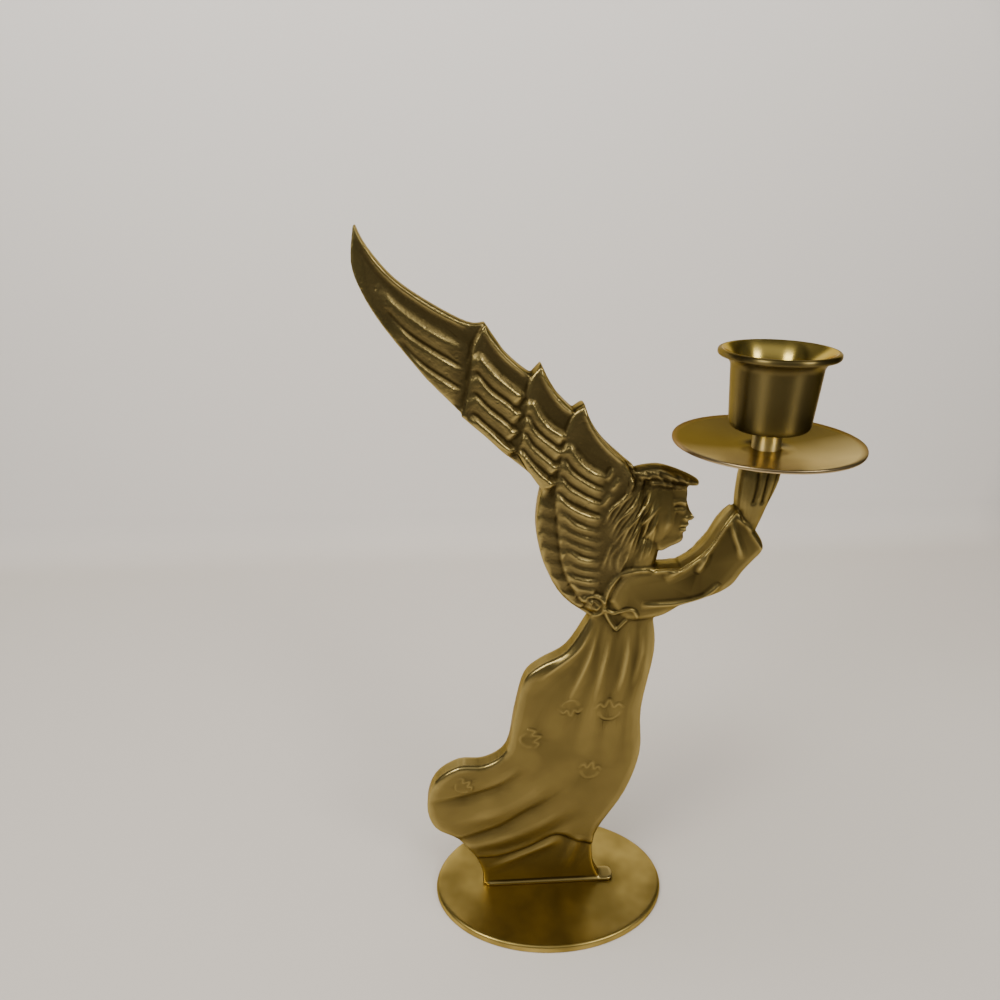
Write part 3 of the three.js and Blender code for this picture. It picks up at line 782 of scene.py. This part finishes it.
def turned_cup(material):
    low, high, lip = CUP_BOTTOM / 2, CUP_TOP / 2, CUP_HIGH.x - CUP_AXIS.x
    height = CUP_HIGH.z - CUP_LOW.z
    bead = LIP_THICKNESS / 2
    inner = high - CUP_WALL
    floor = low - CUP_WALL
    shoulder = height - LIP_HEIGHT
    under = height - LIP_THICKNESS
    hole = STUD_DIAMETER / 2 + HOLE_PLAY
    profile = [
        (hole, 0),
        *rounded((low - CUP_CORNER, 0), (low, 0), (low, CUP_CORNER), 12),
        *rounded((high, shoulder - FLARE_DROP), (high, under - FLARE_DROP), (lip - bead, under), 12),
        *rounded((lip - bead, under), (lip, under), (lip, under + bead), 6)[1:],
        *rounded((lip, under + bead), (lip, height), (lip - bead, height), 6)[1:],
        *rounded((lip - bead - LIP_ROLL, height), (inner + FLARE_EASE, height - 2 * FLARE_DROP),
                 (inner, shoulder - 2 * FLARE_DROP), 12),
        *rounded((floor, CUP_FLOOR + CUP_CORNER), (floor, CUP_FLOOR),
                 (floor - CUP_CORNER, CUP_FLOOR), 10),
        (hole, CUP_FLOOR),
        (hole, 0),
    ]
    bm = spin_profile(profile)
    on_cup_axis(bm, CUP_LOW.z)
    piece = make_piece("turned_cup", bm)
    finish_piece(piece, "candle_cup", "cup", material)


def hex_nut(material):
    corner = (NUT_HIGH.x - NUT_LOW.x) / math.sqrt(3)
    height = NUT_HIGH.z - NUT_LOW.z
    hole = STUD_DIAMETER / 2 + NUT_PLAY
    bm = bmesh.new()
    rings = []
    for radius, sides in ((corner, 6), (hole, 48)):
        made = bmesh.ops.create_circle(bm, segments=sides, radius=radius)
        rings.append({edge for vert in made["verts"] for edge in vert.link_edges})
    turned = Matrix.Rotation(math.radians(30), 3, "Z")
    bmesh.ops.rotate(bm, verts=bm.verts, cent=(0, 0, 0), matrix=turned)
    bmesh.ops.triangle_fill(bm, edges=[*rings[0], *rings[1]], use_beauty=True)
    made = bmesh.ops.extrude_face_region(bm, geom=bm.faces[:])
    bmesh.ops.translate(bm, verts=new_verts(made), vec=(0, 0, height))
    bmesh.ops.recalc_face_normals(bm, faces=bm.faces)
    on_cup_axis(bm, NUT_LOW.z)
    piece = make_piece("hex_nut", bm)
    finish_piece(piece, "cup_nut", "cup", material)
    piece.data.shade_flat()


def slotted_screw(node, material):
    low, high = span(node)
    length = high.z - low.z
    head, shank = SCREW_HEAD / 2, SCREW_SHANK / 2
    core = shank - THREAD_DEPTH
    taper = head - shank
    profile = [
        (0, 0),
        (head - EASE, 0),
        (head, EASE),
        (shank, taper + EASE),
        (core, taper + SCREW_NECK),
        (core, length - SCREW_TIP),
        (core - SCREW_TIP, length),
        (0, length),
    ]
    bm = spin_profile(profile, SCREW_STEPS)
    for side in (-1, 1):
        bmesh.ops.bisect_plane(bm, geom=[*bm.verts, *bm.edges, *bm.faces],
                               plane_co=(side * SCREW_SLOT / 2, 0, 0), plane_no=(1, 0, 0))
    slot = [face for face in bm.faces if abs(face.calc_center_median().x) < SCREW_SLOT / 2
            and max(vert.co.z for vert in face.verts) < FLAT]
    made = bmesh.ops.extrude_face_region(bm, geom=slot)
    bmesh.ops.translate(bm, verts=new_verts(made), vec=(0, 0, SCREW_SLOT_DEPTH))
    add_thread(bm, shank, taper + SCREW_LEAD, (length - taper - SCREW_RUNOUT) / THREAD_PITCH)
    bmesh.ops.translate(bm, verts=bm.verts, vec=((low.x + high.x) / 2, 0, low.z))
    piece = make_piece("screw_" + node.split("_")[-1], bm)
    finish_piece(piece, node, "stand", material)


# Finishes

# Tarnish patches, casting pits and the tint that brass takes at a grazing angle
CLOUD_RANGE = (0.15, 0.85)
PIT_RANGE = (0.0, 0.25)
EDGE_TINT = (0.8, 0.68, 0.42, 1)

# Cast brass: the open surface, a darker tone over feathers and hair, painted shade in hollows,
# worn ridges with a painted highlight, and the relief that sets the shade, the ridge and the
# change of roughness between them
CAST_BRIGHT = (0.275, 0.207, 0.066, 1)
CAST_DULL = (0.185, 0.137, 0.043, 1)
PLUMAGE_TONE = (0.2, 0.153, 0.058, 1)
HOLLOW_PAINTED_SHADE = (0.065, 0.046, 0.015, 1)
RIDGE_WORN_AND_HIGHLIGHT = (0.43, 0.335, 0.122, 1)
CAST_MOTTLE = 60.0
CAST_AMOUNT = 0.8
HOLLOW_RELIEF = (-0.8, 0.0)
RIDGE_RELIEF = (0.15, 0.9)
ROUGH_RELIEF = (-0.8, 0.7)
CAST_ROUGHNESS = (0.5, 0.27)
CAST_UNEVEN = 0.1
GRAIN_SCALE = 900.0
PIT_SCALE = 500.0
SMOOTH_GRAIN = 0.15
GRAIN_STRENGTH = 0.5
GRAIN_DEPTH = 0.0003

# Turned brass: fine lines from the lathe, painted shade on a side away from the light, a tarnished
# rim, and the polished bore of the cup with a painted reflection in its colour
LATHE_FINENESS = 9000.0
LATHE_DEPTH = 0.0001
BRUSH_TURN = 0.25
SHADED_WAY = (-0.1, 1, 0)
SHADED_MOST = 0.9
RIM_TARNISH = (0.44, 0.29, 0.16, 1)
RIM_MOST = 0.7
BORE_PAINTED_REFLECTION = (0.62, 0.475, 0.12, 1)
BORE_GLOSS = 0.65
DULL_MASK = 0.7
DULL_ROUGHER = 0.1
CUP_AXIS_M = (CUP_AXIS.x * MM, 0, 0)

# Backdrop, in metres. Round the stage centre the paper is pale, a painted pool of light; away from it
# and high on the wall it darkens, painted shade
WALL_Y = 0.276
STAGE_HALF = 1.6
TABLE_FRONT = -1.6
COVE = 0.03
LIGHT_POOL_CENTRE = (0, 0.16, 0.1)
STAGE_FADE = (0.36, 0.56)
WALL_FADE = (0.325, 0.38)
TABLE_PALE = (0.52, 0.485, 0.44, 1)
WALL_PALE = (0.76, 0.73, 0.70, 1)
PAPER_PAINTED_SHADE = (0.06, 0.058, 0.056, 1)
PAPER_ROUGHNESS = 0.9


def add(tree, kind, inputs=None, **settings):
    made = tree.nodes.new(kind)
    for name, value in settings.items():
        setattr(made, name, value)
    for name, value in (inputs or {}).items():
        if isinstance(value, bpy.types.NodeSocket):
            tree.links.new(value, made.inputs[name])
        else:
            made.inputs[name].default_value = value
    return made


def maths(tree, operation, first, second):
    return add(tree, "ShaderNodeMath", {0: first, 1: second}, operation=operation).outputs[0]


def vector_maths(tree, operation, *values, output="Vector"):
    made = add(tree, "ShaderNodeVectorMath", dict(enumerate(values)), operation=operation)
    return made.outputs[output]


def mix_colour(tree, share, first, second):
    mixed = add(tree, "ShaderNodeMix", {0: share, 6: first, 7: second}, data_type="RGBA")
    return mixed.outputs[2]


def remap(tree, value, from_min, from_max, to_min, to_max, **settings):
    limits = {"From Min": from_min, "From Max": from_max, "To Min": to_min, "To Max": to_max}
    return add(tree, "ShaderNodeMapRange", {"Value": value, **limits}, **settings).outputs["Result"]


def new_group(name, inputs, outputs):
    group = bpy.data.node_groups.new(name, "ShaderNodeTree")
    for label, kind in inputs:
        group.interface.new_socket(label, in_out="INPUT", socket_type=kind)
    for label, kind in outputs:
        group.interface.new_socket(label, in_out="OUTPUT", socket_type=kind)
    given = group.nodes.new("NodeGroupInput").outputs
    put = group.nodes.new("NodeGroupOutput").inputs
    return group, given, put


def tarnish_group():
    group, given, put = new_group(
        "tarnish",
        [("Bright", "NodeSocketColor"), ("Dull", "NodeSocketColor"), ("Scale", "NodeSocketFloat"),
         ("Amount", "NodeSocketFloat")],
        [("Color", "NodeSocketColor"), ("Mask", "NodeSocketFloat")])
    place = add(group, "ShaderNodeTexCoord").outputs["Object"]
    cloud = add(group, "ShaderNodeTexNoise", {"Vector": place, "Scale": given["Scale"],
                                              "Detail": 2.0, "Roughness": 0.5})
    patches = remap(group, cloud.outputs["Fac"], *CLOUD_RANGE, 0.0, 1.0,
                    interpolation_type="SMOOTHSTEP")
    mask = maths(group, "MULTIPLY", patches, given["Amount"])
    group.links.new(mix_colour(group, mask, given["Bright"], given["Dull"]), put["Color"])
    group.links.new(mask, put["Mask"])
    return group


def grain_group():
    group, given, put = new_group(
        "cast_grain", [("Scale", "NodeSocketFloat"), ("Pits", "NodeSocketFloat")],
        [("Height", "NodeSocketFloat")])
    place = add(group, "ShaderNodeTexCoord").outputs["Object"]
    fine = add(group, "ShaderNodeTexNoise", {"Vector": place, "Scale": given["Scale"],
                                             "Detail": 4.0, "Roughness": 0.6})
    cells = add(group, "ShaderNodeTexVoronoi", {"Vector": place, "Scale": given["Pits"]})
    pits = remap(group, cells.outputs["Distance"], *PIT_RANGE, 0.0, 1.0)
    group.links.new(maths(group, "MULTIPLY", fine.outputs["Fac"], pits), put["Height"])
    return group


def turning_group():
    group, given, put = new_group(
        "turning_lines", [("Axis", "NodeSocketVector"), ("Fineness", "NodeSocketFloat")],
        [("Height", "NodeSocketFloat"), ("Radius", "NodeSocketFloat"), ("Outward", "NodeSocketFloat")])
    coords = add(group, "ShaderNodeTexCoord")
    centred = vector_maths(group, "SUBTRACT", coords.outputs["Object"], given["Axis"])
    parts = add(group, "ShaderNodeSeparateXYZ", {0: centred})
    flat = add(group, "ShaderNodeCombineXYZ", {0: parts.outputs["X"], 1: parts.outputs["Y"]}).outputs[0]
    radius = vector_maths(group, "LENGTH", flat, output="Value")
    sweep = maths(group, "ADD", radius, parts.outputs["Z"])
    lines = add(group, "ShaderNodeTexNoise", {"W": sweep, "Scale": given["Fineness"], "Detail": 3.0},
                noise_dimensions="1D")
    away = vector_maths(group, "NORMALIZE", flat)
    facing = vector_maths(group, "DOT_PRODUCT", coords.outputs["Normal"], away, output="Value")
    group.links.new(lines.outputs["Fac"], put["Height"])
    group.links.new(radius, put["Radius"])
    group.links.new(facing, put["Outward"])
    return group


TARNISH = tarnish_group()
GRAIN = grain_group()
TURNING = turning_group()


def new_finish(name):
    material = bpy.data.materials.new(name)
    material.use_nodes = True
    tree = material.node_tree
    return material, tree, tree.nodes["Principled BSDF"].inputs


def brass(shader, edge=EDGE_TINT):
    shader["Metallic"].default_value = 1.0
    shader["Specular Tint"].default_value = edge


def cast_finish():
    material, tree, shader = new_finish("cast_brass")
    brass(shader)
    relief = add(tree, "ShaderNodeAttribute", attribute_name="relief").outputs["Fac"]
    plumage = add(tree, "ShaderNodeAttribute", attribute_name="plumage").outputs["Fac"]
    skin = add(tree, "ShaderNodeGroup", {"Bright": CAST_BRIGHT, "Dull": CAST_DULL, "Scale": CAST_MOTTLE,
                                         "Amount": CAST_AMOUNT}, node_tree=TARNISH)
    # Feathers and hair take one flat, darker tone in place of the mottle
    plumage_toned = mix_colour(tree, plumage, skin.outputs["Color"], PLUMAGE_TONE)
    # Hollows take a dark colour as painted shade; ridges take a pale colour, part wear and part painted
    # highlight
    hollow_shade = remap(tree, relief, *HOLLOW_RELIEF, 1.0, 0.0)
    ridge = remap(tree, relief, *RIDGE_RELIEF, 0.0, 1.0)
    shaded = mix_colour(tree, hollow_shade, plumage_toned, HOLLOW_PAINTED_SHADE)
    tree.links.new(mix_colour(tree, ridge, shaded, RIDGE_WORN_AND_HIGHLIGHT), shader["Base Color"])
    rough = remap(tree, relief, *ROUGH_RELIEF, *CAST_ROUGHNESS)
    uneven = maths(tree, "MULTIPLY", skin.outputs["Mask"], CAST_UNEVEN)
    tree.links.new(maths(tree, "ADD", rough, uneven), shader["Roughness"])
    grain = add(tree, "ShaderNodeGroup", {"Scale": GRAIN_SCALE, "Pits": PIT_SCALE}, node_tree=GRAIN)
    coarse = remap(tree, plumage, 0.0, 1.0, SMOOTH_GRAIN, 1.0)
    height = maths(tree, "MULTIPLY", grain.outputs["Height"], coarse)
    bump = add(tree, "ShaderNodeBump", {"Strength": GRAIN_STRENGTH, "Distance": GRAIN_DEPTH,
                                        "Height": height})
    tree.links.new(bump.outputs["Normal"], shader["Normal"])
    return material


# Shaded is where the far side darkens, rim the radii where tarnish begins and is full, both in
# metres, and bore the facing over which the bore turns to the outside.
def turned_finish(name, bright, dull, roughness, axis=CUP_AXIS_M, lines=0.04, brushed=0.0, mottle=45.0,
                  amount=0.7, edge=EDGE_TINT, shaded=None, rim=None, bore=None):
    material, tree, shader = new_finish(name)
    brass(shader, edge)
    shader["Anisotropic"].default_value = brushed
    shader["Anisotropic Rotation"].default_value = BRUSH_TURN
    lit = bright
    if shaded:
        place = add(tree, "ShaderNodeTexCoord").outputs["Object"]
        centred = vector_maths(tree, "SUBTRACT", place, axis)
        back = vector_maths(tree, "DOT_PRODUCT", centred, SHADED_WAY, output="Value")
        lit = mix_colour(tree, remap(tree, back, *shaded, 0.0, SHADED_MOST), bright, dull)
    skin = add(tree, "ShaderNodeGroup", {"Bright": lit, "Dull": dull, "Scale": mottle,
                                         "Amount": amount}, node_tree=TARNISH)
    turning = add(tree, "ShaderNodeGroup", {"Axis": axis, "Fineness": LATHE_FINENESS},
                  node_tree=TURNING)
    colour = skin.outputs["Color"]
    if rim:
        outer = remap(tree, turning.outputs["Radius"], *rim, 0.0, RIM_MOST)
        colour = mix_colour(tree, outer, colour, RIM_TARNISH)
    rough = remap(tree, skin.outputs["Mask"], 0.0, DULL_MASK, roughness, roughness + DULL_ROUGHER)
    if bore:
        outside = remap(tree, turning.outputs["Outward"], *bore, 0.0, 1.0)
        # The bore's brighter colour is a painted reflection; its lower roughness is its polish
        colour = mix_colour(tree, outside, BORE_PAINTED_REFLECTION, colour)
        rough = maths(tree, "MULTIPLY", rough, remap(tree, outside, 0.0, 1.0, BORE_GLOSS, 1.0))
    tree.links.new(colour, shader["Base Color"])
    tree.links.new(rough, shader["Roughness"])
    bump = add(tree, "ShaderNodeBump", {"Strength": lines, "Distance": LATHE_DEPTH,
                                        "Height": turning.outputs["Height"]})
    tree.links.new(bump.outputs["Normal"], shader["Normal"])
    return material


def stage_finish():
    material, tree, shader = new_finish("backdrop_paper")
    place = add(tree, "ShaderNodeTexCoord").outputs["Object"]
    height = add(tree, "ShaderNodeSeparateXYZ", {0: place}).outputs["Z"]
    pale = mix_colour(tree, remap(tree, height, 0.0, COVE, 0.0, 1.0), TABLE_PALE, WALL_PALE)
    # Painted shade darkens the paper away from the pool of light and high on the wall
    centred = vector_maths(tree, "SUBTRACT", place, LIGHT_POOL_CENTRE)
    away = vector_maths(tree, "LENGTH", centred, output="Value")
    high = remap(tree, height, *WALL_FADE, 0.0, 1.0)
    far = maths(tree, "MAXIMUM", remap(tree, away, *STAGE_FADE, 0.0, 1.0), high)
    tree.links.new(mix_colour(tree, far, pale, PAPER_PAINTED_SHADE), shader["Base Color"])
    shader["Roughness"].default_value = PAPER_ROUGHNESS
    return material


CAST = cast_finish()
BASE_POLISH = turned_finish(
    "base_polish", bright=(0.58, 0.435, 0.13, 1), dull=(0.24, 0.172, 0.042, 1), roughness=0.285,
    axis=(0, 0, 0), lines=0.02, mottle=75.0, amount=1.0)
CUP_POLISH = turned_finish(
    "cup_polish", bright=(0.23, 0.176, 0.064, 1), dull=(0.165, 0.125, 0.044, 1), roughness=0.33,
    lines=0.02, brushed=0.85, bore=(-0.35, -0.05))
NECK_POLISH = turned_finish(
    "neck_polish", bright=(0.96, 0.82, 0.4, 1), dull=(0.82, 0.66, 0.28, 1), roughness=0.4,
    lines=0.02, brushed=0.85)
# The pan fades from its bright colour at the front to its dull one at the back: painted shade over a
# light mottle
PAN_SATIN = turned_finish(
    "pan_satin", bright=(1.0, 0.86, 0.47, 1), dull=(0.16, 0.127, 0.068, 1), roughness=0.28,
    mottle=60.0, amount=0.25, edge=(0.52, 0.425, 0.25, 1), shaded=(-0.016, 0.003),
    rim=(0.0238, 0.0258))
FASTENER = turned_finish(
    "fastener_brass", bright=(0.58, 0.43, 0.17, 1), dull=(0.44, 0.32, 0.12, 1), roughness=0.3)

cast_figure(CAST)
oval_base(BASE_POLISH)
dished_pan(PAN_SATIN)
threaded_neck(NECK_POLISH)
turned_cup(CUP_POLISH)
hex_nut(FASTENER)
for screw in ("figure_screw_left", "figure_screw_right"):
    slotted_screw(screw, FASTENER)

# Stage, light and camera, in metres


def backdrop(material):
    bm = bmesh.new()
    edge = [bm.verts.new((side * STAGE_HALF, TABLE_FRONT, 0)) for side in (-1, 1)]
    line = [bm.edges.new(edge)]
    corner = rounded((WALL_Y - COVE, 0), (WALL_Y, 0), (WALL_Y, COVE), 8)
    path = [Vector((TABLE_FRONT, 0)), *corner, Vector((WALL_Y, STAGE_HALF))]
    for start, end in zip(path, path[1:]):
        made = bmesh.ops.extrude_edge_only(bm, edges=line)
        step = end - start
        bmesh.ops.translate(bm, verts=new_verts(made), vec=(0, step.x, step.y))
        line = [part for part in made["geom"] if isinstance(part, bmesh.types.BMEdge)]
    bmesh.ops.recalc_face_normals(bm, faces=bm.faces)
    piece = make_object("backdrop", bm)
    piece.data.materials.append(material)
    piece.data.shade_smooth()


def soft_light(name, place, target, size, power, colour, seen=True):
    light = bpy.data.lights.new(name, "AREA")
    light.shape = "RECTANGLE"
    light.size, light.size_y = size
    light.energy = power
    light.color = colour
    lamp = bpy.data.objects.new(name, light)
    lamp.location = place
    lamp.rotation_euler = (Vector(target) - Vector(place)).to_track_quat("-Z", "Y").to_euler()
    lamp.visible_glossy = seen
    bpy.context.scene.collection.objects.link(lamp)


LAMP_WARM = (1, 0.96, 0.88)
LAMP_SOFT = (1, 0.97, 0.93)
ROOM_COLOUR = (0.55, 0.54, 0.53, 1)
ROOM_STRENGTH = 0.16
CAMERA_PLACE = (-0.0286, -0.19575, 0.225)
CAMERA_TILT = 67.9
CAMERA_TURN = -3.4
CAMERA_LENS = 27.36
CAMERA_SENSOR = 36.0
CAMERA_NEAR = 0.01

backdrop(stage_finish())
soft_light("lamp_left", place=(-0.48, -0.43, 0.56), target=(0, 0, 0.12), size=(0.26, 0.24),
           power=2.6, colour=LAMP_WARM)
soft_light("lamp_right", place=(0.49, -0.54, 0.56), target=(0, 0, 0.12), size=(0.22, 0.24),
           power=2.2, colour=LAMP_WARM)
soft_light("lamp_top", place=(-0.06, -0.1, 0.85), target=(0, 0.08, 0), size=(0.7, 0.6),
           power=10.5, colour=LAMP_SOFT, seen=False)
soft_light("lamp_room", place=(0, -0.7, 1.1), target=(0, 0, 0.1), size=(1.6, 1.0),
           power=2.4, colour=LAMP_SOFT)

world = bpy.data.worlds.new("room")
world.use_nodes = True
room = world.node_tree.nodes["Background"].inputs
room["Color"].default_value = ROOM_COLOUR
room["Strength"].default_value = ROOM_STRENGTH
bpy.context.scene.world = world

camera_data = bpy.data.cameras.new("camera")
camera_data.lens = CAMERA_LENS
camera_data.sensor_width = CAMERA_SENSOR
camera_data.clip_start = CAMERA_NEAR
camera = bpy.data.objects.new("camera", camera_data)
camera.location = CAMERA_PLACE
camera.rotation_euler = (math.radians(CAMERA_TILT), 0, math.radians(CAMERA_TURN))
bpy.context.scene.collection.objects.link(camera)
bpy.context.scene.camera = camera
